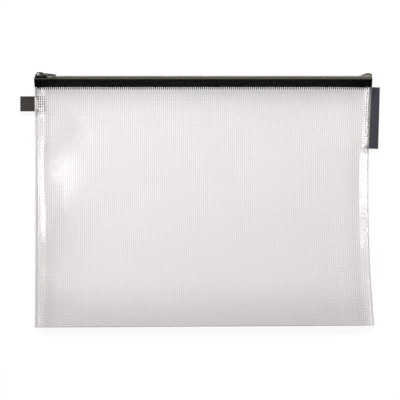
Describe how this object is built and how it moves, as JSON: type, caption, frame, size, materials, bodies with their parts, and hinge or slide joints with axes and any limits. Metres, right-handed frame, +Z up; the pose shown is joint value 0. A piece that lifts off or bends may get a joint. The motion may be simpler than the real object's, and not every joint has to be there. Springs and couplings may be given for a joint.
{
  "type": "zipped document wallet",
  "caption": "Flat clear PVC document wallet with a reinforcing net, a black coil zip along one long edge, a metal slider with a hollow puller, a ribbon grip tab and a bare side label.",
  "frame": {"origin": "on the outer face of the wallet's back, which it lies on, near the middle of it", "axes": "+X to the right along the zip, +Y from the bottom fold towards the zip, +Z up out of the front"},
  "size_m": [0.3591, 0.2552, 0.0117],
  "materials": {
    "clear_pvc": "clear calendered PVC film, glossy",
    "white_net": "white polyester reinforcing net laid into the film",
    "zip_tape": "black woven polyester tape",
    "zip_coil": "black nylon monofilament, semi-gloss",
    "zip_thread": "black polyester thread",
    "slider_metal": "gunmetal-plated zinc casting",
    "puller_metal": "plated zinc puller, satin",
    "grip_ribbon": "dark olive grey woven ribbon",
    "woven_label": "dark slate woven label, bare"
  },
  "bodies": {
    "pouch": {"pouch_sheet": "clear_pvc", "pouch_net": "white_net", "front_zip_tape": "zip_tape", "back_zip_tape": "zip_tape", "front_zip_coil": "zip_coil", "back_zip_coil": "zip_coil", "front_coil_cord": "zip_thread", "back_coil_cord": "zip_thread", "front_coil_stitching": "zip_thread", "back_coil_stitching": "zip_thread", "grip_tab_tail": "grip_ribbon", "side_label_tail": "woven_label"},
    "slider": {"slider_body": "slider_metal"},
    "puller": {"puller": "puller_metal"},
    "grip_tab": {"grip_tab_loop": "grip_ribbon"},
    "side_label": {"side_label_flap": "woven_label"}
  },
  "joints": [
    {"name": "zip_slide", "type": "slide", "parent": "pouch", "child": "slider", "axis": [1, 0, 0], "range_m": [0, 0.31]},
    {"name": "puller_flip", "type": "hinge", "parent": "slider", "child": "puller", "pos_m": [-0.1598, 0.12588, 0.00624], "axis": [-0.1732, -0.2599, 0.95], "range_deg": [0, 185]},
    {"name": "grip_tab_flex", "type": "hinge", "parent": "pouch", "child": "grip_tab", "pos_m": [-0.16645, 0.0961, 0.0012], "axis": [0, 1, 0], "range_deg": [-75, 90], "stiffness_Nm_per_rad": 0.002},
    {"name": "side_label_flex", "type": "hinge", "parent": "pouch", "child": "side_label", "pos_m": [0.172, 0.08121, 0.0012], "axis": [-0.0279, -0.9996, 0], "range_deg": [-75, 90], "stiffness_Nm_per_rad": 0.002}
  ]
}
